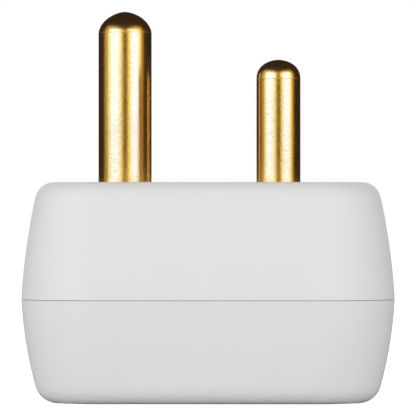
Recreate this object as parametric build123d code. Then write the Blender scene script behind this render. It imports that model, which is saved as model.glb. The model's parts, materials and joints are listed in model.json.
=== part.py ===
from build123d import *
from math import cos, radians, sin
import os

# Switched triple adapter: a round-pin plug on the rear, and three recessed three-pin outlets and a
# rocker switch on the front. Millimetres. The front face lies on Z = 0 and the plug pins point up, +Z.
# X runs from the earth pin to the line pins, and Y along the row of outlets. The origin is the middle
# of the front face.

# Outer form of the body, at its widest, which is the parting line
body_width = 59.0
body_length = 92.0
body_depth = 34.8
parting_height = 16.3
plan_corner_radius = 12.4
rear_lean = 2.8
rear_bulge = 0.44
rear_edge_radius = 3.0
front_lean = 3.0
front_bulge = 0.52
front_edge_radius = 3.5

# Mouldings
wall = 2.2
inner_corner_radius = 1.4
lap_height = 1.4
lap_clearance = 0.1
parting_gap = 0.08
ring_depth = 8.5
rib_thickness = 1.4
rib_clearance = 0.5
gusset_reach = 5.0

# Plug pins
earth_pin_diameter = 8.7
earth_pin_length = 28.1
earth_dome_height = 3.4
earth_dome_lean = 0.4
earth_dome_side = 2.3
earth_dome_flat = 1.3
line_pin_diameter = 7.1
line_pin_length = 19.9
line_dome_height = 3.05
line_dome_side = 2.45
line_dome_flat = 1.05
line_pin_spacing = 25.4
earth_to_line_row = 25.1
earth_pin_offset = 13.9
pin_shoulder = 0.3
pin_clearance = 0.1
flange_width = 1.7
flange_height = 1.0
flange_clearance = 0.15
collar_wall = 1.2
rivet_diameter = 3.2
rivet_head_diameter = 4.2
rivet_head_height = 0.6

# Outlets
outlet_count = 3
outlet_length = 36.0
outlet_width = 17.0
outlet_end_flat = 7.0
outlet_end_taper = 5.0
outlet_corner_radius = 1.0
outlet_depth = 9.0
outlet_web = 2.4
outlet_mouth_chamfer = 0.6
contact_spacing = 19.0
earth_contact_offset = 3.0
pin_hole_diameter = 4.9
pin_hole_chamfer = 0.5

# Socket blocks, which floor the outlets and hold the contacts
block_plate = 1.6
block_spigot = 0.8
block_clearance = 0.15
block_wall = 1.2
pocket_length = 8.2
pocket_width = 6.0

# Formed brass strip: contacts, bus bars and straps
sheet = 0.7
bus_width = 4.4
contact_width = 5.0
contact_span = 6.0
contact_pinch = 4.0
contact_mouth = 5.8
pinch_rise = 2.4
contact_lift = 1.4
bend_radius = 0.8
strap_width = 7.0
strap_landing = 4.0
strap_step = 1.8
strap_drop = 1.8
tab_gap = 1.0
barrier_thickness = 0.5
barrier_margin = 2.2
barrier_slack = 1.0
pillar_diameter = 4.0

# Rocker switch
switch_gap = 1.6
flange_length_x = 21.0
flange_length_y = 15.0
switch_flange = 2.0
flange_corner_radius = 1.0
flange_chamfer = 0.5
switch_sink = 2.5
switch_pocket_clearance = 0.4
switch_body_x = 19.0
switch_body_y = 12.8
switch_wall = 0.8
switch_floor = 1.5
switch_cavity_depth = 15.3
cutout_clearance = 0.1
snap_depth = 0.8
snap_length = 3.0
rocker_pivot_depth = 3.3
rocker_tilt = 10.0
rocker_length = 16.0
rocker_rise = 0.5
rocker_dish = 1.0
rocker_skirt = 6.6
rocker_side_clearance = 0.15
rocker_wall = 1.1
rocker_edge_radius = 0.5
rocker_swell = 0.2
rocker_taper = 0.6
trunnion_diameter = 2.4
trunnion_clearance = 0.05
trunnion_end_gap = 0.1
trunnion_root = 0.4
plunger_diameter = 3.0
plunger_clearance = 0.1
plunger_boss_wall = 1.0
plunger_bore_depth = 5.0
plunger_reach = 8.4
plunger_length = 5.8
spring_wire = 0.35
spring_turns = 6
spring_seat_gap = 0.05
rocking_tilt = 6.0
rocking_length = 14.0
rocking_width = 4.4
rocking_corner_radius = 1.0
rocking_clearance = 0.15
fulcrum_gap = 0.05
fulcrum_half_width = 1.0
input_foot = 6.0
output_foot = 4.0
stop_overhang = 1.0
button_diameter = 3.0
button_height = 0.6
button_offset = 6.0
button_inset = 0.5
contact_gap = 0.05
blade_width = 4.8
blade_reach = 6.0
slot_clearance = 0.05

# Housing screws
screw_inset_x = 10.0
screw_inset_y = 10.0
screw_head_diameter = 5.5
screw_head_height = 2.2
screw_shank_diameter = 3.0
screw_core_diameter = 2.4
screw_length = 16.0
screw_point = 1.0
screw_bite = 9.0
screw_clearance = 0.3
counterbore_chamfer = 0.4
driver_slot = 1.0
post_wall = 1.3
pilot_clearance = 0.05
pilot_wall = 1.2

# How far a cutting shape runs past the face that it opens
overcut = 1.0

# Places that follow from the sizes above
half_width = body_width / 2
half_length = body_length / 2
rear_inside = body_depth - wall
well_wall = outlet_web / 2
well_height = outlet_depth + block_spigot
outlet_pitch = outlet_width + outlet_web
row_length = outlet_count * outlet_pitch + switch_gap + flange_length_y + 2 * switch_pocket_clearance
switch_y = -row_length / 2 + flange_length_y / 2 + switch_pocket_clearance
first_outlet_y = row_length / 2 - (outlet_count - 0.5) * outlet_pitch
outlet_rows = [first_outlet_y + n * outlet_pitch for n in range(outlet_count)]
contact_x = contact_spacing / 2
earth_rows = [y + earth_contact_offset for y in outlet_rows]
web_rows = [y + outlet_pitch / 2 for y in outlet_rows[:-1]]
earth_pin_x = -earth_pin_offset
line_pin_x = earth_to_line_row - earth_pin_offset
live_pin_y = -line_pin_spacing / 2
neutral_pin_y = line_pin_spacing / 2
strap_top = rear_inside - flange_height
strap_height = strap_top - sheet
landing_height = strap_height - strap_drop
bus_height = landing_height - sheet
pivot_height = switch_sink + rocker_pivot_depth
flange_back = switch_sink + switch_flange
cavity_floor = switch_sink + switch_cavity_depth
terminal_height = cavity_floor - sheet
rocking_height = pivot_height + plunger_reach + rocking_clearance + sheet
screw_x = half_width - screw_inset_x
screw_y = half_length - screw_inset_y
screw_seat = parting_height + screw_length - screw_bite
post_diameter = screw_head_diameter + 2 * screw_clearance + 2 * post_wall


def block(x0, x1, y0, y1, z0, z1):
    """A plain block between two corners."""
    return Pos((x0 + x1) / 2, (y0 + y1) / 2, (z0 + z1) / 2) * Box(x1 - x0, y1 - y0, z1 - z0)


def rod(x, y, z0, z1, diameter):
    """A round bar that stands along Z."""
    return Pos(x, y, (z0 + z1) / 2) * Cylinder(diameter / 2, z1 - z0)


def prism(sketch, z0, z1):
    """A flat outline carried up from z0 to z1."""
    return extrude(Pos(0, 0, z0) * sketch, z1 - z0)


def side_section(sketch, y0, y1):
    """An outline drawn in X and Z, carried along Y from y0 to y1."""
    return extrude(Plane.XZ.offset(-y0) * sketch, -(y1 - y0))


def end_section(sketch, x0, x1):
    """An outline drawn in Y and Z, carried along X from x0 to x1."""
    return extrude(Plane.YZ.offset(x0) * sketch, x1 - x0)


def body_outline(inset, depth_inset):
    """Half of the body's section, in X and Z: two bulged walls and the flat faces that close them."""
    edge = half_width - inset
    core = half_width - ring_depth
    low, high = depth_inset, body_depth - depth_inset
    walls = [
        SagittaArc((edge, parting_height), (edge - rear_lean, high), -rear_bulge),
        SagittaArc((edge - front_lean, low), (edge, parting_height), -front_bulge),
    ]
    faces = Polyline((edge - rear_lean, high), (core, high), (core, low), (edge - front_lean, low))
    return make_face(walls + [faces])


def outer_corners(sketch, height):
    """The corner of a body section where its wall meets the flat face at a height."""
    return sketch.vertices().filter_by_position(Axis.Y, height - 0.01, height + 0.01).sort_by(Axis.X)[-1]


def rounded_outline(inset, inset_z, rear_radius, front_radius):
    """The body's half section with its two edges rounded."""
    sketch = body_outline(inset, inset_z)
    sketch = fillet(outer_corners(sketch, body_depth - inset_z), rear_radius)
    return fillet(outer_corners(sketch, inset_z), front_radius)


def plan_path():
    """The body's plan at the parting line, which the wall sections follow."""
    corner = plan_corner_radius
    x, y = half_width, half_length
    path = [Line((x, 0), (x, y - corner))]
    for turn in range(4):
        centre_x = (x - corner) * (1 if turn in (0, 3) else -1)
        centre_y = (y - corner) * (1 if turn in (0, 1) else -1)
        path.append(CenterArc((centre_x, centre_y), corner, 90 * turn, 90))
        if turn < 3:
            reach = 2 * (x if turn != 1 else y) - 2 * corner
            path.append(Line(path[-1] @ 1, path[-1] @ 1 + (path[-1] % 1) * reach))
    path.append(Line(path[-1] @ 1, (x, 0)))
    return Wire(path)


def swept_wall(section):
    """A wall section carried round the plan."""
    return sweep(Plane.XZ * section, path=plan_path())


def face_plate(z0, z1):
    """The flat middle of a moulding, inside its swept wall."""
    inset = ring_depth - wall / 2
    width, length = body_width - 2 * inset, body_length - 2 * inset
    return prism(RectangleRounded(width, length, plan_corner_radius - inset), z0, z1)


def rib_room():
    """The space that ribs may fill: the body's inside, up to the middle of its walls."""
    inset = wall / 2
    section = rounded_outline(inset, inset, rear_edge_radius - inset, front_edge_radius - inset)
    return swept_wall(section) + face_plate(inset, body_depth - inset)


def post_ribs(z0, z1):
    """Ribs that tie each screw post to the two walls beside it."""
    half = rib_thickness / 2
    ribs = []
    for way in (-1, 1):
        start, end = sorted((way * screw_x, way * half_width))
        ribs += [block(start, end, y - half, y + half, z0, z1) for y in (-screw_y, screw_y)]
        start, end = sorted((way * screw_y, way * half_length))
        ribs += [block(x - half, x + half, start, end, z0, z1) for x in (-screw_x, screw_x)]
    return ribs


def wall_gussets():
    """Three-cornered ribs between the engagement face and the long walls."""
    start = half_width - rear_lean - wall - gusset_reach
    top, foot = body_depth - wall / 2, rear_inside - gusset_reach
    gussets = []
    for way in (-1, 1):
        edge = way * half_width
        corner = make_face(Polyline((way * start, top), (edge, top), (edge, foot), close=True))
        gussets += [side_section(corner, y - rib_thickness / 2, y + rib_thickness / 2) for y in web_rows]
    return gussets


def outlet_outline(growth):
    """An outlet's six-sided outline, grown all round."""
    half_x, half_y = outlet_length / 2 + growth, outlet_width / 2 + growth
    flat = outlet_end_flat / 2 + growth / 2
    shoulder = half_x - outlet_end_taper - growth / 2
    corners = [(half_x, flat), (shoulder, half_y), (-shoulder, half_y), (-half_x, flat)]
    corners += [(-x, -y) for x, y in corners]
    outline = make_face(Polyline(*corners, close=True))
    return fillet(outline.vertices(), outlet_corner_radius + growth)


def well_outline():
    """The outlets' wells, joined by the webs between them."""
    shoulder = outlet_length / 2 + well_wall - outlet_end_taper - well_wall / 2
    span = outlet_rows[-1] - outlet_rows[0]
    outline = Pos(0, (outlet_rows[0] + outlet_rows[-1]) / 2) * Rectangle(2 * shoulder, span)
    for y in outlet_rows:
        outline += Pos(0, y) * outlet_outline(well_wall)
    return outline


def at_screws(piece):
    """Copies of a piece at the four housing screws."""
    return [Pos(x, y) * piece for x in (-screw_x, screw_x) for y in (-screw_y, screw_y)]


def switch_pocket_outline(growth):
    """The outline of the pocket that the switch's flange sinks into, grown all round."""
    reach = 2 * (switch_pocket_clearance + growth)
    return RectangleRounded(flange_length_x + reach, flange_length_y + reach, flange_corner_radius + growth)


def wall_sections():
    """The sections of the rear and the front moulding's walls, with the lap that joins them."""
    outer = rounded_outline(0, 0, rear_edge_radius, front_edge_radius)
    inner = rounded_outline(wall, wall, inner_corner_radius, inner_corner_radius)
    hollow = outer - inner
    reach = ring_depth + body_depth
    above = Pos(half_width, parting_height + parting_gap / 2 + reach / 2) * Rectangle(4 * reach, reach)
    below = Pos(half_width, parting_height - parting_gap / 2 - reach / 2) * Rectangle(4 * reach, reach)
    middle = half_width - wall / 2
    tongue = Pos(middle - wall, parting_height) * Rectangle(2 * wall - lap_clearance, 2 * lap_height)
    room = Pos(middle - wall, parting_height) * Rectangle(
        2 * wall + lap_clearance, 2 * (lap_height + lap_clearance)
    )
    return (hollow & above) - room, (hollow & below) + (hollow & tongue)


def rear_shell():
    """The rear moulding: wall, engagement face, pin holes, collars, ribs, pillars and screw posts."""
    shell = swept_wall(wall_sections()[0]) + face_plate(rear_inside, body_depth)
    post_foot = parting_height + lap_clearance
    shell += at_screws(rod(0, 0, post_foot, body_depth - wall / 2, post_diameter))
    for x, y, diameter in pin_places():
        flange = diameter + 2 * flange_width
        seat = flange + 2 * flange_clearance
        collar = rod(x, y, strap_top, body_depth - wall / 2, seat + 2 * collar_wall)
        shell += collar - rod(x, y, strap_top, rear_inside, seat)
    rib_foot = parting_height + lap_height + lap_clearance + rib_clearance
    room = rib_room()
    shell += [rib & room for rib in post_ribs(rib_foot, body_depth) + wall_gussets()]
    pillar_foot = landing_height + barrier_thickness
    for x, y in pillar_places():
        shell += rod(x, y, pillar_foot, body_depth - wall / 2, pillar_diameter)
    for x, y, diameter in pin_places():
        hole = diameter + 2 * (pin_shoulder + pin_clearance)
        shell -= rod(x, y, strap_top, body_depth + overcut, hole)
    head_room = screw_head_diameter + 2 * screw_clearance
    shell -= at_screws(rod(0, 0, screw_seat, body_depth + overcut, head_room))
    mouth = Cone(head_room / 2, head_room / 2 + counterbore_chamfer, counterbore_chamfer)
    shell -= at_screws(Pos(0, 0, body_depth - counterbore_chamfer / 2) * mouth)
    shell -= at_screws(rod(0, 0, post_foot - overcut, body_depth, screw_shank_diameter + screw_clearance))
    return shell


def front_shell():
    """The front moulding: wall, front face, outlet wells, switch pocket, ribs and screw posts."""
    shell = swept_wall(wall_sections()[1]) + face_plate(0, wall)
    pilot = screw_core_diameter + 2 * pilot_clearance
    shell += at_screws(rod(0, 0, wall / 2, parting_height, pilot + 2 * pilot_wall))
    ribs = post_ribs(wall / 2, parting_height - rib_clearance)
    for y in web_rows:
        half = rib_thickness / 2
        ribs.append(block(-half_width, half_width, y - half, y + half, wall / 2, outlet_depth))
    room = rib_room()
    shell += [rib & room for rib in ribs]
    shell += prism(well_outline(), wall / 2, well_height)
    shell += Pos(0, switch_y) * prism(switch_pocket_outline(switch_gap), wall / 2, flange_back + wall)
    opening = prism(outlet_outline(0), -overcut, well_height + overcut)
    mouth = extrude(outlet_outline(outlet_mouth_chamfer), outlet_mouth_chamfer, taper=45)
    for y in outlet_rows:
        shell -= Pos(0, y) * opening
        shell -= Pos(0, y) * mouth
    shell -= Pos(0, switch_y) * prism(switch_pocket_outline(0), -overcut, flange_back)
    cutout = Rectangle(switch_body_x + 2 * cutout_clearance, switch_body_y + 2 * cutout_clearance)
    shell -= Pos(0, switch_y) * prism(cutout, 0, flange_back + wall + overcut)
    shell -= at_screws(rod(0, 0, screw_seat - screw_length - overcut, parting_height + overcut, pilot))
    return shell


def pin_places():
    """Centre and diameter of each plug pin: earth, live and neutral."""
    return [
        (earth_pin_x, 0, earth_pin_diameter),
        (line_pin_x, live_pin_y, line_pin_diameter),
        (line_pin_x, neutral_pin_y, line_pin_diameter),
    ]


def pillar_places():
    """The rear moulding's pillars, which press the barrier and the bars down between the outlets."""
    return [(contact_x, web_rows[0]), (-contact_x, web_rows[-1]), (0, web_rows[-1])]


def dome_profile(radius, tip, dome, lean, side, flat):
    """A pin's domed end in profile: its side rises from the shank, leans in and rounds over to the tip."""
    rim = tip - dome
    return Bezier((radius, rim), (radius - lean, rim + side), (flat, tip), (0, tip))


def plug_pin(x, y, diameter, length, dome, lean, side, flat):
    """A turned pin: domed shank, shoulder in the engagement wall, flange behind it, and a riveted tail."""
    radius, tip = diameter / 2, body_depth + length
    flange, shoulder = radius + flange_width, radius + pin_shoulder
    tail = strap_height - rivet_head_height
    shank = [
        (rivet_head_diameter / 2, strap_height),
        (rivet_diameter / 2, strap_height),
        (rivet_diameter / 2, strap_top),
        (flange, strap_top),
        (flange, rear_inside),
        (shoulder, rear_inside),
        (shoulder, body_depth),
        (radius, body_depth),
        (radius, tip - dome),
    ]
    head = SagittaArc((0, tail), shank[0], -rivet_head_height / 4)
    nose = dome_profile(radius, tip, dome, lean, side, flat)
    section = make_face([head, Polyline(*shank), nose, Line((0, tip), (0, tail))])
    return Pos(x, y) * revolve(Plane.XZ * section, Axis.Z)


def earth_pin():
    """The earth pin, whose dome meets its shank at a faint edge."""
    size = earth_pin_diameter, earth_pin_length, earth_dome_height
    return plug_pin(earth_pin_x, 0, *size, earth_dome_lean, earth_dome_side, earth_dome_flat)


def line_pin(y):
    """One of the two line pins, whose dome runs smoothly into its shank."""
    size = line_pin_diameter, line_pin_length, line_dome_height
    return plug_pin(line_pin_x, y, *size, 0, line_dome_side, line_dome_flat)


def socket_block(y):
    """An outlet's floor with its pin holes, and the pockets behind it that hold the three contacts."""
    floor = outlet_depth + block_spigot
    plate = prism(outlet_outline(-block_clearance), outlet_depth, floor)
    plate += prism(outlet_outline(well_wall - block_clearance), floor, floor + block_plate)
    contacts = [(-contact_x, 0), (contact_x, 0), (0, earth_contact_offset)]
    for x, offset in contacts:
        tower = Rectangle(pocket_length + 2 * block_wall, pocket_width + 2 * block_wall)
        plate += Pos(x, offset) * prism(tower, floor, bus_height)
    for x, offset in contacts:
        pocket = Rectangle(pocket_length, pocket_width)
        plate -= Pos(x, offset) * prism(pocket, floor + block_plate, bus_height + overcut)
        plate -= rod(x, offset, outlet_depth - overcut, floor + block_plate + overcut, pin_hole_diameter)
        wide = pin_hole_diameter / 2 + pin_hole_chamfer
        lead = Cone(wide, pin_hole_diameter / 2, pin_hole_chamfer)
        plate -= Pos(x, offset, outlet_depth + pin_hole_chamfer / 2) * lead
    return Pos(0, y) * plate


def contact_clip(x, y):
    """One contact: two leaves folded from the bar that pinch the pin and flare at the mouth."""
    floor = outlet_depth + block_spigot + block_plate
    top, mouth = bus_height + sheet / 2, floor + contact_lift
    pinch = mouth + pinch_rise
    half = [
        ((contact_mouth + sheet) / 2, mouth),
        ((contact_pinch + sheet) / 2, pinch),
        (contact_span / 2, bus_height - contact_lift),
        (contact_span / 2, top),
    ]
    line = FilletPolyline(*half, *[(-u, v) for u, v in reversed(half)], radius=bend_radius)
    clip = side_section(trace(line, line_width=sheet), -contact_width / 2, contact_width / 2)
    return Pos(x, y) * clip


def bus_bar(x, rows, y_start):
    """A bar above a line of contacts, with the contacts folded from it."""
    bar = block(x - bus_width / 2, x + bus_width / 2, y_start, rows[-1], bus_height, landing_height)
    for y in rows:
        bar += contact_clip(x, y)
    return bar


def live_bus():
    """The switched bar, with an arm that reaches round to the switch's outgoing blade."""
    arm_y = outlet_rows[0] - outlet_width / 2 - bus_width
    bar = bus_bar(-contact_x, outlet_rows, arm_y)
    left, right = -contact_x - bus_width / 2, button_offset + sheet + bus_width / 2
    bar += block(left, right, arm_y - bus_width / 2, arm_y + bus_width / 2, bus_height, landing_height)
    tab_x = button_offset + sheet
    line = FilletPolyline(
        (tab_x + bus_width / 2, landing_height - sheet / 2),
        (tab_x, landing_height - sheet / 2),
        (tab_x, cavity_floor + switch_floor + tab_gap),
        radius=bend_radius,
    )
    tab = trace(line, line_width=sheet)
    low, high = switch_y - blade_width / 2, arm_y
    bar += block(tab_x, right, low, high, bus_height, landing_height)
    return bar + side_section(tab, low, switch_y + blade_width / 2)


def step_strap(start, end, landing):
    """The outline of a strap that leaves a pin, steps down and lands on a bar."""
    line = FilletPolyline(
        (start, strap_height + sheet / 2),
        (end, strap_height + sheet / 2),
        (end + strap_step, landing_height + sheet / 2),
        (end + strap_step + landing, landing_height + sheet / 2),
        radius=bend_radius,
    )
    return trace(line, line_width=sheet)


def earth_strap():
    """The strap from the earth pin over the switched bar to the earth bar."""
    end = -bus_width / 2 - strap_step
    section = step_strap(earth_pin_x - strap_width / 2, end, strap_landing)
    strap = side_section(section, -strap_width / 2, strap_width / 2)
    return strap - rod(earth_pin_x, 0, 0, body_depth, rivet_diameter)


def neutral_strap():
    """The strap from the neutral pin to the neutral bar, between two outlets."""
    end = web_rows[-1] - strap_step - strap_landing / 4
    section = step_strap(neutral_pin_y - strap_width / 2, end, strap_landing)
    middle = (line_pin_x + contact_x) / 2
    strap = end_section(section, middle - strap_width / 2, middle + strap_width / 2)
    return strap - rod(line_pin_x, neutral_pin_y, 0, body_depth, rivet_diameter)


def live_feed():
    """The strap from the live pin to the switch's incoming blade."""
    half = strap_width / 2
    strap = block(
        line_pin_x - half, line_pin_x + half, switch_y - half, live_pin_y + half, strap_height, strap_top
    )
    line = FilletPolyline(
        (line_pin_x, strap_height + sheet / 2),
        (sheet, strap_height + sheet / 2),
        (sheet, cavity_floor + switch_floor + tab_gap),
        radius=bend_radius,
    )
    tab = trace(line, line_width=sheet)
    strap += side_section(tab, switch_y - blade_width / 2, switch_y + blade_width / 2)
    return strap - rod(line_pin_x, live_pin_y, 0, body_depth, rivet_diameter)


def insulating_barrier():
    """The sheet that lies on the bars and keeps the straps and rivets off them."""
    reach_x = contact_x + contact_span / 2 + barrier_margin
    low = outlet_rows[0] - contact_width / 2 - barrier_margin
    high = earth_rows[-1] + contact_width / 2 + barrier_margin
    bottom, top = landing_height, landing_height + barrier_thickness
    barrier = block(-reach_x, reach_x, low, high, bottom, top)
    slack = strap_width / 2 + barrier_slack
    step_room = strap_step + sheet
    earth_end = strap_landing - bus_width / 2 + barrier_slack
    earth_window = Rectangle(bus_width / 2 + step_room + earth_end, 2 * slack)
    earth_middle = (earth_end - bus_width / 2 - step_room) / 2
    barrier -= Pos(earth_middle, 0) * prism(earth_window, bottom - overcut, top + overcut)
    middle = (line_pin_x + contact_x) / 2
    start = web_rows[-1] - strap_landing / 4
    low, high = start - step_room, start + strap_landing + barrier_slack
    neutral_window = Rectangle(2 * slack, high - low)
    barrier -= Pos(middle, (low + high) / 2) * prism(neutral_window, bottom - overcut, top + overcut)
    return barrier


def switch_frame():
    """The switch's moulded frame: flange, open box, trunnion holes, terminal slots and snap wings."""
    back = cavity_floor + switch_floor
    frame = prism(
        RectangleRounded(flange_length_x, flange_length_y, flange_corner_radius), switch_sink, flange_back
    )
    frame = chamfer(frame.faces().sort_by(Axis.Z)[0].edges(), flange_chamfer)
    frame += prism(Rectangle(switch_body_x, switch_body_y), flange_back, back)
    cavity = Rectangle(switch_body_x - 2 * switch_wall, switch_body_y - 2 * switch_wall)
    frame -= prism(cavity, 0, cavity_floor)
    hole = Cylinder(trunnion_diameter / 2 + trunnion_clearance, 2 * switch_body_y, rotation=(90, 0, 0))
    frame -= Pos(0, 0, pivot_height) * hole
    for x in (0, button_offset):
        slot_x, slot_y = sheet / 2 + slot_clearance, blade_width / 2 + slot_clearance
        frame -= block(x - slot_x, x + slot_x, -slot_y, slot_y, cavity_floor - overcut, back + overcut)
    stop = rocking_height + (rocking_length / 2) * sin(radians(rocking_tilt)) + contact_gap
    stop_start, stop_end = -rocking_length / 2 - stop_overhang, -button_offset + button_inset
    stop_side = rocking_width / 2
    frame += block(stop_start, stop_end, -stop_side, stop_side, stop, cavity_floor)
    side, start = switch_body_x / 2, flange_back + wall + cutout_clearance
    for way in (-1, 1):
        wing = make_face(
            Polyline(
                (way * side, start),
                (way * (side + snap_depth), start),
                (way * side, start + snap_length),
                close=True,
            )
        )
        frame += side_section(wing, -switch_body_y / 4, switch_body_y / 4)
    return Pos(0, switch_y) * frame


def tipped(piece, angle, height):
    """A switch piece turned about a line along Y, as it lies when the switch is off, and put in place."""
    centre = Pos(0, 0, height)
    return Pos(0, switch_y) * centre * Rot(0, angle, 0) * centre.inverse() * piece


def rocker():
    """The rocker: dished key with a hollow underside, trunnions and the plunger's boss."""
    half = rocker_length / 2
    top = switch_sink - rocker_rise
    skirt = top + rocker_skirt
    wide, narrow = half + rocker_swell, half - rocker_taper
    side_y = switch_body_y / 2 - switch_wall - rocker_side_clearance
    dish = SagittaArc((-half, top), (half, top), rocker_dish)
    one_side = [(half, top), (wide, pivot_height), (narrow, skirt)]
    rim = Polyline(*one_side, *[(-x, z) for x, z in reversed(one_side)])
    key = side_section(make_face([dish, rim]), -side_y, side_y)
    reach = rocker_edge_radius / 4
    front = key.edges().filter_by_position(Axis.Z, top - reach, top + rocker_dish + reach)
    key = fillet(front, rocker_edge_radius)
    roof = top + rocker_dish + rocker_wall
    room_x, room_y = narrow - rocker_wall, side_y - rocker_wall
    key -= block(-room_x, room_x, -room_y, room_y, roof, skirt + overcut)
    bore = plunger_diameter + 2 * plunger_clearance
    boss_end = pivot_height + plunger_reach - plunger_length + plunger_bore_depth / 2
    key += rod(0, 0, roof - rocker_wall / 2, boss_end, bore + 2 * plunger_boss_wall)
    key -= rod(0, 0, boss_end - plunger_bore_depth, boss_end + overcut, bore)
    start, end = side_y - trunnion_root, switch_body_y / 2 - trunnion_end_gap
    trunnion = Cylinder(trunnion_diameter / 2, end - start, rotation=(90, 0, 0))
    for way in (-1, 1):
        key += Pos(0, way * (start + end) / 2, pivot_height) * trunnion
    return tipped(key, -rocker_tilt, pivot_height)


def plunger():
    """The sprung pin that slides in the rocker's boss and tips the rocking contact."""
    radius, tip = plunger_diameter / 2, pivot_height + plunger_reach
    pin = rod(0, 0, tip - plunger_length, tip - radius, plunger_diameter)
    pin += Pos(0, 0, tip - radius) * Sphere(radius)
    return tipped(pin, -rocker_tilt, pivot_height)


def plunger_spring():
    """The coil behind the plunger."""
    tip = pivot_height + plunger_reach
    boss_end = tip - plunger_length + plunger_bore_depth / 2
    low = boss_end - plunger_bore_depth + spring_wire / 2 + spring_seat_gap
    high = tip - plunger_length - spring_wire / 2 - spring_seat_gap
    radius = (plunger_diameter - spring_wire) / 2 - plunger_clearance
    coil = Helix(pitch=(high - low) / spring_turns, height=high - low, radius=radius)
    wire = sweep(Plane(coil @ 0, z_dir=coil % 0) * Circle(spring_wire / 2), path=coil, is_frenet=True)
    return tipped(Pos(0, 0, low) * wire, -rocker_tilt, pivot_height)


def rocking_contact():
    """The see-saw strip with its contact button."""
    reach, side = rocking_length / 2, rocking_width / 2
    strip = block(-reach, reach, -side, side, rocking_height - sheet, rocking_height)
    strip = fillet(strip.edges().filter_by(Axis.Z), rocking_corner_radius)
    button_x, button_top = button_offset - button_inset, rocking_height + button_height
    strip += rod(button_x, 0, rocking_height - sheet / 2, button_top, button_diameter)
    return tipped(strip, rocking_tilt, rocking_height)


def input_terminal():
    """The incoming blade, with the knife edge that the rocking contact tips on."""
    foot, side = input_foot / 2, rocking_width / 2
    base = block(-foot, foot, -side, side, terminal_height, cavity_floor)
    apex = rocking_height + fulcrum_gap
    edge = make_face(
        Polyline(
            (0, apex),
            (fulcrum_half_width, terminal_height + sheet / 2),
            (-fulcrum_half_width, terminal_height + sheet / 2),
            close=True,
        )
    )
    base += side_section(edge, -rocking_width / 2, rocking_width / 2)
    return Pos(0, switch_y) * (base + blade(0))


def output_terminal():
    """The outgoing blade, with the fixed contact button."""
    x, side = button_offset, rocking_width / 2
    foot = output_foot / 2
    base = block(x - foot, x + foot, -side, side, terminal_height, cavity_floor)
    tilt, button_x = radians(rocking_tilt), x - button_inset
    button_edge = button_x + button_diameter / 2
    top = rocking_height + button_edge * sin(tilt) + button_height * cos(tilt) + contact_gap
    base += rod(button_x, 0, top, terminal_height + sheet / 2, button_diameter)
    return Pos(0, switch_y) * (base + blade(x))


def blade(x):
    """A terminal's flat blade, through the frame's floor."""
    back = cavity_floor + switch_floor
    return block(
        x - sheet / 2, x + sheet / 2, -blade_width / 2, blade_width / 2, terminal_height, back + blade_reach
    )


def housing_screws():
    """Four pan-head screws that hold the two mouldings together."""
    head = rod(0, 0, screw_seat, screw_seat + screw_head_height, screw_head_diameter)
    head = fillet(head.edges().sort_by(Axis.Z)[-1], screw_head_height / 2)
    for turn in (0, 90):
        slot = Box(screw_head_diameter / 2, driver_slot, screw_head_height, rotation=(0, 0, turn))
        head -= Pos(0, 0, screw_seat + screw_head_height) * slot
    shank = rod(0, 0, parting_height, screw_seat, screw_shank_diameter)
    tip = screw_seat - screw_length
    core = rod(0, 0, tip + screw_point, parting_height, screw_core_diameter)
    point = Cone(screw_core_diameter / 4, screw_core_diameter / 2, screw_point)
    screw = head + shank + core + Pos(0, 0, tip + screw_point / 2) * point
    return Compound(children=at_screws(screw))


pieces = {
    "rear_shell": rear_shell(),
    "front_shell": front_shell(),
    "earth_pin": earth_pin(),
    "live_pin": line_pin(live_pin_y),
    "neutral_pin": line_pin(neutral_pin_y),
    "live_bus": live_bus(),
    "neutral_bus": bus_bar(contact_x, outlet_rows, outlet_rows[0]),
    "earth_bus": bus_bar(0, earth_rows, earth_rows[0]),
    "earth_strap": earth_strap(),
    "neutral_strap": neutral_strap(),
    "live_feed": live_feed(),
    "insulating_barrier": insulating_barrier(),
    "switch_frame": switch_frame(),
    "rocker": rocker(),
    "plunger": plunger(),
    "plunger_spring": plunger_spring(),
    "rocking_contact": rocking_contact(),
    "input_terminal": input_terminal(),
    "output_terminal": output_terminal(),
    "housing_screws": housing_screws(),
}
for number, y in enumerate(outlet_rows, 1):
    pieces[f"socket_block_{number}"] = socket_block(y)

os.makedirs("parts", exist_ok=True)
for name, piece in pieces.items():
    export_step(piece, f"parts/{name}.step")
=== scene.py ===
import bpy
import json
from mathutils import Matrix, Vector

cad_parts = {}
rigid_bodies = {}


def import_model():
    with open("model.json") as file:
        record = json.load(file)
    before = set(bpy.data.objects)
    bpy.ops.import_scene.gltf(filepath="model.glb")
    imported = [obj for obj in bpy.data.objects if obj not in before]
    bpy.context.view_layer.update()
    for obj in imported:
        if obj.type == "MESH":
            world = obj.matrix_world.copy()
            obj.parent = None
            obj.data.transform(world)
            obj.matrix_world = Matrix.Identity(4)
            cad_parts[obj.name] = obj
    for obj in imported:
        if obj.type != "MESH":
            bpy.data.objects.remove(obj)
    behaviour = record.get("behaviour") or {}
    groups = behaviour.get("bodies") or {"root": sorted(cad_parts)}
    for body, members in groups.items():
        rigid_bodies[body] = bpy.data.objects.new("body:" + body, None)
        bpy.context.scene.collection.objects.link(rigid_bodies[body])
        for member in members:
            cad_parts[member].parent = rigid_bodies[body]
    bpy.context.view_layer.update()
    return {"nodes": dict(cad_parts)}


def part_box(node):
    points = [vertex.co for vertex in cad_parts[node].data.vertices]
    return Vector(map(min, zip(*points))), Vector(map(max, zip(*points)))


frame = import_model()

# Studio: a pale floor and a white surround. The room panels light the matt pieces evenly. The polished pins
# have panels of their own, left and right of the camera, which they mirror as two broad streaks, each with
# a warm rim and a bright core. The surround is dim in reflections, so the pins keep their dark edges.
import bpy
from math import cos, pi, radians, sin, tan
from mathutils import Vector

scene = bpy.context.scene
scene.view_settings.view_transform = "Standard"
scene.view_settings.look = "None"

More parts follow.
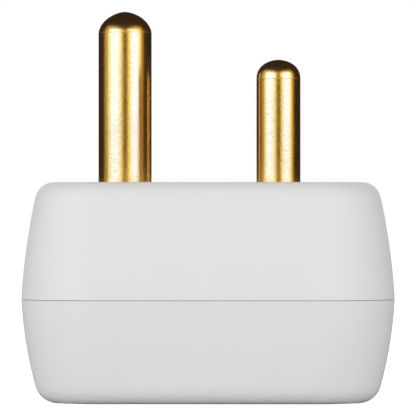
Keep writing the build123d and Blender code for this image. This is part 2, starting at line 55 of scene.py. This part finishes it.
body_middle_height = 0.031
camera_distance = 0.900
camera_lens = 475.0
camera_azimuth = radians(0.51)
camera_aim = -0.0003
camera_height = 0.03074
surround_white = (1.0, 1.0, 1.0, 1)
surround_fill = (0.365, 0.365, 0.365, 1)
surround_in_reflections = (0.032, 0.026, 0.030, 1)
floor_white = (0.75, 0.75, 0.75, 1)
floor_glow = 0.90
floor_half = 12.0
floor_height = -0.00005
beam_strength = 1.5
beam_width = 0.045
beam_length = 0.078
beam_spread = radians(4)
beam_height = -0.06


def new_material(name):
    """A material with an empty node tree, and its output node."""
    material = bpy.data.materials.new(name)
    material.use_nodes = True
    material.node_tree.nodes.clear()
    return material, material.node_tree, material.node_tree.nodes.new("ShaderNodeOutputMaterial")


def softbox(name, lit, left, right, radiance, color=(1, 1, 1), low=-3, high=42, distance=0.9):
    """A light panel that spans these angles as the object sees it, and lights one collection of pieces."""
    azimuth, elevation = (left + right) / 2, (low + high) / 2
    light = bpy.data.lights.new(name, "AREA")
    light.shape = "RECTANGLE"
    light.size = 2 * distance * tan(radians(right - left) / 2)
    light.size_y = 2 * distance * tan(radians(high - low) / 2)
    light.energy = radiance * pi * light.size * light.size_y
    light.color = color
    lamp = bpy.data.objects.new(name, light)
    turn, rise = radians(azimuth), radians(elevation)
    away = Vector((sin(turn) * cos(rise), -cos(turn) * cos(rise), sin(rise)))
    lamp.location = Vector((0, 0, body_middle_height)) + away * distance
    lamp.rotation_euler = away.to_track_quat("Z", "Y").to_euler()
    lamp.visible_camera = False
    lamp.light_linking.receiver_collection = lit
    scene.collection.objects.link(lamp)


matt_pieces = bpy.data.collections.new("matt_pieces")
polished_pieces = bpy.data.collections.new("polished_pieces")
hidden_pin = bpy.data.collections.new("hidden_pin")
softbox("room_left", matt_pieces, -66, -14, 1.80, high=34)
softbox("room_right", matt_pieces, 9, 58, 1.78, high=34)
softbox("room_far_left", matt_pieces, -100, -66, 1.12, high=36)
softbox("room_far_right", matt_pieces, 58, 90, 0.78, high=36)
softbox("room_back", matt_pieces, 150, 210, 0.8)

# The left streak, the right streak and the darker band between them. The last panel stands behind the
# object and lights only the neutral pin, whose mirror image edges the earth pin with a thin bright line.
softbox("left_rim", polished_pieces, -99, -6, 0.53, (1, 0.92, 0.48), low=-30, high=49)
softbox("left_streak", polished_pieces, -78.5, -13, 2.2, (0.31, 0.545, 1), low=-30, high=38, distance=0.88)
softbox("left_core", polished_pieces, -65, -25, 6.5, (0.02, 0.09, 1), low=-30, high=34, distance=0.86)
softbox("right_rim", polished_pieces, 8.5, 86, 0.6, (1, 0.7, 0.12), low=-30, high=48)
softbox("right_streak", polished_pieces, 13, 74, 1.2, (0.58, 0.98, 0.26), low=-30, high=38, distance=0.88)
softbox("right_core", polished_pieces, 24.5, 63, 8.76, (0.011, 0.077, 1), low=-30, high=33, distance=0.86)
softbox("dark_band", polished_pieces, -28, 6, 0.12, (1, 0.72, 0.1), low=-30, high=30, distance=0.84)
softbox("backdrop", hidden_pin, 150, 200, 3.0, low=-20, high=12)

# A narrow beam from below reaches the front face through the floor, so views from underneath show it.
standing_pieces = bpy.data.collections.new("standing_pieces")
beam = bpy.data.lights.new("underside_beam", "AREA")
beam.shape = "RECTANGLE"
beam.size = beam_width
beam.size_y = beam_length
beam.spread = beam_spread
beam.energy = beam_strength * beam.size * beam.size_y
lamp = bpy.data.objects.new("underside_beam", beam)
lamp.location = (0, 0, beam_height)
lamp.rotation_euler = (pi, 0, 0)
lamp.visible_camera = False
lamp.light_linking.receiver_collection = matt_pieces
lamp.light_linking.blocker_collection = standing_pieces
scene.collection.objects.link(lamp)

surround = bpy.data.worlds.new("surround")
surround.use_nodes = True
scene.world = surround
nodes, links = surround.node_tree.nodes, surround.node_tree.links
nodes.clear()
path = nodes.new("ShaderNodeLightPath")
fill = nodes.new("ShaderNodeBackground")
fill.inputs["Color"].default_value = surround_fill
dim = nodes.new("ShaderNodeBackground")
dim.inputs["Color"].default_value = surround_in_reflections
white = nodes.new("ShaderNodeBackground")
white.inputs["Color"].default_value = surround_white
by_glossy = nodes.new("ShaderNodeMixShader")
by_camera = nodes.new("ShaderNodeMixShader")
links.new(path.outputs["Is Glossy Ray"], by_glossy.inputs[0])
links.new(fill.outputs[0], by_glossy.inputs[1])
links.new(dim.outputs[0], by_glossy.inputs[2])
links.new(path.outputs["Is Camera Ray"], by_camera.inputs[0])
links.new(by_glossy.outputs[0], by_camera.inputs[1])
links.new(white.outputs[0], by_camera.inputs[2])
links.new(by_camera.outputs[0], nodes.new("ShaderNodeOutputWorld").inputs["Surface"])

floor_mesh = bpy.data.meshes.new("floor")
quarters = ((-1, -1), (1, -1), (1, 1), (-1, 1))
floor_corners = [(x * floor_half, y * floor_half, floor_height) for x, y in quarters]
floor_mesh.from_pydata(floor_corners, [], [(0, 1, 2, 3)])
floor = bpy.data.objects.new("floor", floor_mesh)
scene.collection.objects.link(floor)
floor_paint, tree, output = new_material("floor_paint")
nodes, links = tree.nodes, tree.links
path = nodes.new("ShaderNodeLightPath")
paper = nodes.new("ShaderNodeBsdfDiffuse")
paper.inputs["Color"].default_value = floor_white
dark = nodes.new("ShaderNodeEmission")
dark.inputs["Color"].default_value = surround_in_reflections
bright = nodes.new("ShaderNodeEmission")
bright.inputs["Strength"].default_value = floor_glow
lit = nodes.new("ShaderNodeAddShader")
links.new(paper.outputs[0], lit.inputs[0])
links.new(bright.outputs[0], lit.inputs[1])
by_glossy = nodes.new("ShaderNodeMixShader")
links.new(path.outputs["Is Glossy Ray"], by_glossy.inputs[0])
links.new(paper.outputs[0], by_glossy.inputs[1])
links.new(dark.outputs[0], by_glossy.inputs[2])
by_camera = nodes.new("ShaderNodeMixShader")
links.new(path.outputs["Is Camera Ray"], by_camera.inputs[0])
links.new(by_glossy.outputs[0], by_camera.inputs[1])
links.new(lit.outputs[0], by_camera.inputs[2])
from_below = nodes.new("ShaderNodeMixShader")
geometry = nodes.new("ShaderNodeNewGeometry")
links.new(geometry.outputs["Backfacing"], from_below.inputs[0])
links.new(by_camera.outputs[0], from_below.inputs[1])
links.new(nodes.new("ShaderNodeBsdfTransparent").outputs[0], from_below.inputs[2])
links.new(from_below.outputs[0], output.inputs["Surface"])
floor_mesh.materials.append(floor_paint)

camera = bpy.data.objects.new("camera", bpy.data.cameras.new("camera"))
camera.data.lens = camera_lens
camera.data.sensor_width = 36.0
camera.data.clip_start = 0.01
camera.data.clip_end = 20.0
camera.location = (
    camera_aim + camera_distance * sin(camera_azimuth),
    -camera_distance * cos(camera_azimuth),
    camera_height,
)
camera.rotation_euler = (pi / 2, 0, camera_azimuth)
scene.collection.objects.link(camera)
scene.camera = camera

# Housing: a rear and a front moulding in white plastic, made in a finely eroded mould, so the skin is
# satin with a barely visible texture. They meet at the parting line and are screwed together.
housing_white = (0.80, 0.80, 0.795, 1)
plastic_ior = 1.49
plastic_patch_size = 0.012
plastic_gloss_drift = 0.04


def group_tree(name, inputs, outputs):
    """An empty shader node group with the named inputs and outputs."""
    tree = bpy.data.node_groups.new(name, "ShaderNodeTree")
    for socket, kind, value in inputs:
        tree.interface.new_socket(socket, in_out="INPUT", socket_type=kind).default_value = value
    for socket, kind in outputs:
        tree.interface.new_socket(socket, in_out="OUTPUT", socket_type=kind)
    return tree, tree.nodes.new("NodeGroupInput"), tree.nodes.new("NodeGroupOutput")


def fine_grain_group():
    """Fine texture of a moulded or polished skin: a height, and a value that varies about 0.5."""
    tree, given, made = group_tree(
        "fine_grain",
        [("Grain Size", "NodeSocketFloat", 0.0004), ("Patch Size", "NodeSocketFloat", 0.01)],
        [("Height", "NodeSocketFloat"), ("Patches", "NodeSocketFloat")],
    )
    place = tree.nodes.new("ShaderNodeTexCoord")
    for size, result, detail in (("Grain Size", "Height", 3.0), ("Patch Size", "Patches", 2.0)):
        scale = tree.nodes.new("ShaderNodeMath")
        scale.operation = "DIVIDE"
        scale.inputs[0].default_value = 1.0
        tree.links.new(given.outputs[size], scale.inputs[1])
        noise = tree.nodes.new("ShaderNodeTexNoise")
        noise.inputs["Detail"].default_value = detail
        tree.links.new(place.outputs["Object"], noise.inputs["Vector"])
        tree.links.new(scale.outputs[0], noise.inputs["Scale"])
        tree.links.new(noise.outputs["Fac"], made.inputs[result])
    return tree


fine_grain = fine_grain_group()


def drift(tree, value, middle, reach):
    """Maps a value from 0 to 1 onto a span that reaches as far below the middle as above it."""
    span = tree.nodes.new("ShaderNodeMapRange")
    span.inputs["To Min"].default_value = middle - reach
    span.inputs["To Max"].default_value = middle + reach
    tree.links.new(value, span.inputs["Value"])
    return span.outputs["Result"]


def moulded_plastic(name, color, roughness, grain_size, grain_depth, tone=0.012):
    """Moulded plastic: fine grain in the skin, and a tone and gloss that drift slightly."""
    material, tree, output = new_material(name)
    skin = tree.nodes.new("ShaderNodeBsdfPrincipled")
    skin.inputs["IOR"].default_value = plastic_ior
    grain = tree.nodes.new("ShaderNodeGroup")
    grain.node_tree = fine_grain
    grain.inputs["Grain Size"].default_value = grain_size
    grain.inputs["Patch Size"].default_value = plastic_patch_size
    dye = tree.nodes.new("ShaderNodeMix")
    dye.data_type = "RGBA"
    dye.inputs["A"].default_value = (*(c * (1 - tone) for c in color[:3]), 1)
    dye.inputs["B"].default_value = (*(min(1, c * (1 + tone)) for c in color[:3]), 1)
    bump = tree.nodes.new("ShaderNodeBump")
    bump.inputs["Distance"].default_value = grain_depth
    bump.inputs["Strength"].default_value = 1.0
    gloss = drift(tree, grain.outputs["Patches"], roughness, plastic_gloss_drift)
    tree.links.new(grain.outputs["Patches"], dye.inputs["Factor"])
    tree.links.new(dye.outputs["Result"], skin.inputs["Base Color"])
    tree.links.new(gloss, skin.inputs["Roughness"])
    tree.links.new(grain.outputs["Height"], bump.inputs["Height"])
    tree.links.new(bump.outputs["Normal"], skin.inputs["Normal"])
    tree.links.new(skin.outputs[0], output.inputs["Surface"])
    return material


def finish(material, *names):
    """Gives CAD nodes one material."""
    for name in names:
        mesh = frame["nodes"][name].data
        mesh.materials.clear()
        mesh.materials.append(material)


white_housing = moulded_plastic(
    "white_housing", housing_white, roughness=0.46, grain_size=0.00035, grain_depth=0.000006
)
finish(white_housing, "rear_shell", "front_shell")

# Plug pins: solid brass, turned and polished, with a domed end. Each is held in a collar of the rear
# moulding, and its tail is riveted over a strap. A faint turned edge marks where the dome starts, and
# handling leaves the polish slightly mottled.
brass_red_gold = (0.92, 0.50, 0.10, 1)
brass_pale = (0.97, 0.59, 0.14, 1)
pin_roughness = 0.23
brass_grain_size = 0.0004
brass_patch_size = 0.0032
brass_relief = 0.000017
brass_gloss_drift = 0.06
earth_dome = 0.0034
line_dome = 0.00305
mark_half_width = 0.00013
mark_roughness = 0.42


def ring_mark(tree, height, half_width):
    """A mask that is 1 at a height along the pin, and fades to 0 within a half width of it."""
    place = tree.nodes.new("ShaderNodeTexCoord")
    split = tree.nodes.new("ShaderNodeSeparateXYZ")
    away = tree.nodes.new("ShaderNodeMath")
    away.operation = "SUBTRACT"
    away.inputs[1].default_value = height
    size = tree.nodes.new("ShaderNodeMath")
    size.operation = "ABSOLUTE"
    fade = tree.nodes.new("ShaderNodeMapRange")
    fade.inputs["From Max"].default_value = half_width
    fade.inputs["To Min"].default_value = 1.0
    fade.inputs["To Max"].default_value = 0.0
    tree.links.new(place.outputs["Object"], split.inputs[0])
    tree.links.new(split.outputs["Z"], away.inputs[0])
    tree.links.new(away.outputs[0], size.inputs[0])
    tree.links.new(size.outputs[0], fade.inputs["Value"])
    return fade.outputs["Result"]


def polished_brass(name, deep, pale, roughness, mark_height=None):
    """Brass whose polish is broken by fine mottling, in tone, gloss and a very shallow relief."""
    material, tree, output = new_material(name)
    metal = tree.nodes.new("ShaderNodeBsdfPrincipled")
    metal.inputs["Metallic"].default_value = 1.0
    grain = tree.nodes.new("ShaderNodeGroup")
    grain.node_tree = fine_grain
    grain.inputs["Grain Size"].default_value = brass_grain_size
    grain.inputs["Patch Size"].default_value = brass_patch_size
    tone = tree.nodes.new("ShaderNodeMix")
    tone.data_type = "RGBA"
    tone.inputs["A"].default_value = deep
    tone.inputs["B"].default_value = pale
    bump = tree.nodes.new("ShaderNodeBump")
    bump.inputs["Distance"].default_value = brass_relief
    tree.links.new(grain.outputs["Height"], tone.inputs["Factor"])
    gloss = drift(tree, grain.outputs["Patches"], roughness, brass_gloss_drift)
    if mark_height is not None:
        dull = tree.nodes.new("ShaderNodeMix")
        dull.inputs["B"].default_value = mark_roughness
        tree.links.new(ring_mark(tree, mark_height, mark_half_width), dull.inputs["Factor"])
        tree.links.new(gloss, dull.inputs["A"])
        gloss = dull.outputs["Result"]
    tree.links.new(tone.outputs["Result"], metal.inputs["Base Color"])
    tree.links.new(gloss, metal.inputs["Roughness"])
    tree.links.new(grain.outputs["Height"], bump.inputs["Height"])
    tree.links.new(bump.outputs["Normal"], metal.inputs["Normal"])
    tree.links.new(metal.outputs[0], output.inputs["Surface"])
    return material


earth_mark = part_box("earth_pin")[1][2] - earth_dome
line_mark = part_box("live_pin")[1][2] - line_dome
brass_earth_pin = polished_brass("brass_earth_pin", brass_red_gold, brass_pale, pin_roughness, earth_mark)
brass_line_pin = polished_brass("brass_line_pin", brass_red_gold, brass_pale, pin_roughness, line_mark)
finish(brass_earth_pin, "earth_pin")
finish(brass_line_pin, "live_pin", "neutral_pin")

# Socket blocks: white plastic plates that floor the three outlets, with a hole in front of each contact.
# They come from a smoother mould than the housing, so they are a little glossier.
block_white = (0.78, 0.78, 0.77, 1)
white_inner = moulded_plastic(
    "white_inner", block_white, roughness=0.38, grain_size=0.0005, grain_depth=0.000004
)
finish(white_inner, "socket_block_1", "socket_block_2", "socket_block_3")

# Strips: bus bars, straps, terminals and contacts, blanked from rolled brass sheet, folded and riveted.
# A sheet of brown fibre lies between the straps and the bars.
strip_deep = (0.80, 0.58, 0.25, 1)
strip_pale = (0.88, 0.68, 0.34, 1)
strip_roughness = 0.32
brass_strip = polished_brass("brass_strip", strip_deep, strip_pale, strip_roughness)
finish(brass_strip, "live_bus", "neutral_bus", "earth_bus", "earth_strap", "neutral_strap", "live_feed")
finish(brass_strip, "rocking_contact", "input_terminal", "output_terminal")
fibre_brown = (0.40, 0.26, 0.15, 1)
barrier_sheet = moulded_plastic(
    "barrier_sheet", fibre_brown, roughness=0.6, grain_size=0.0008, grain_depth=0.00001
)
finish(barrier_sheet, "insulating_barrier")

# Switch: a matt black frame snapped into the front moulding, and a glossy red rocker on its trunnions.
# The plunger that the rocker carries is moulded in the frame's black plastic.
frame_black = (0.03, 0.03, 0.03, 1)
rocker_red = (0.55, 0.02, 0.015, 1)
black_switch = moulded_plastic(
    "black_switch", frame_black, roughness=0.42, grain_size=0.0004, grain_depth=0.00001
)
red_rocker = moulded_plastic(
    "red_rocker", rocker_red, roughness=0.25, grain_size=0.0006, grain_depth=0.000002
)
finish(black_switch, "switch_frame", "plunger")
finish(red_rocker, "rocker")

# Screws and spring: four zinc-plated screws hold the mouldings together from the pin side. The spring
# between the rocker and its plunger is wound from bright wire.
zinc_grey = (0.62, 0.62, 0.62, 1)
wire_grey = (0.55, 0.55, 0.56, 1)
steel_grain_size = 0.0004
steel_patch_size = 0.002
steel_relief = 0.000008
steel_gloss_drift = 0.08


def plated_steel(name, color, roughness):
    """Bright plated steel with slight drift in its gloss."""
    material, tree, output = new_material(name)
    metal = tree.nodes.new("ShaderNodeBsdfPrincipled")
    metal.inputs["Metallic"].default_value = 1.0
    metal.inputs["Base Color"].default_value = color
    grain = tree.nodes.new("ShaderNodeGroup")
    grain.node_tree = fine_grain
    grain.inputs["Grain Size"].default_value = steel_grain_size
    grain.inputs["Patch Size"].default_value = steel_patch_size
    bump = tree.nodes.new("ShaderNodeBump")
    bump.inputs["Distance"].default_value = steel_relief
    gloss = drift(tree, grain.outputs["Patches"], roughness, steel_gloss_drift)
    tree.links.new(gloss, metal.inputs["Roughness"])
    tree.links.new(grain.outputs["Height"], bump.inputs["Height"])
    tree.links.new(bump.outputs["Normal"], metal.inputs["Normal"])
    tree.links.new(metal.outputs[0], output.inputs["Surface"])
    return material


plated_screw = plated_steel("plated_screw", zinc_grey, roughness=0.3)
spring_steel = plated_steel("spring_steel", wire_grey, roughness=0.25)
finish(plated_screw, "housing_screws")
finish(spring_steel, "plunger_spring")

# Light groups: each piece joins the panels that light it. The pins take the streak panels, and all the
# other pieces take the room panels. The floor doesn't stop the beam from below.
import json

plug_pins = ("earth_pin", "live_pin", "neutral_pin")
for piece in bpy.data.objects:
    if piece.type != "MESH":
        continue
    group = polished_pieces if piece.name in plug_pins else matt_pieces
    group.objects.link(piece)
    if piece.name != floor.name:
        standing_pieces.objects.link(piece)
hidden_pin.objects.link(frame["nodes"]["neutral_pin"])
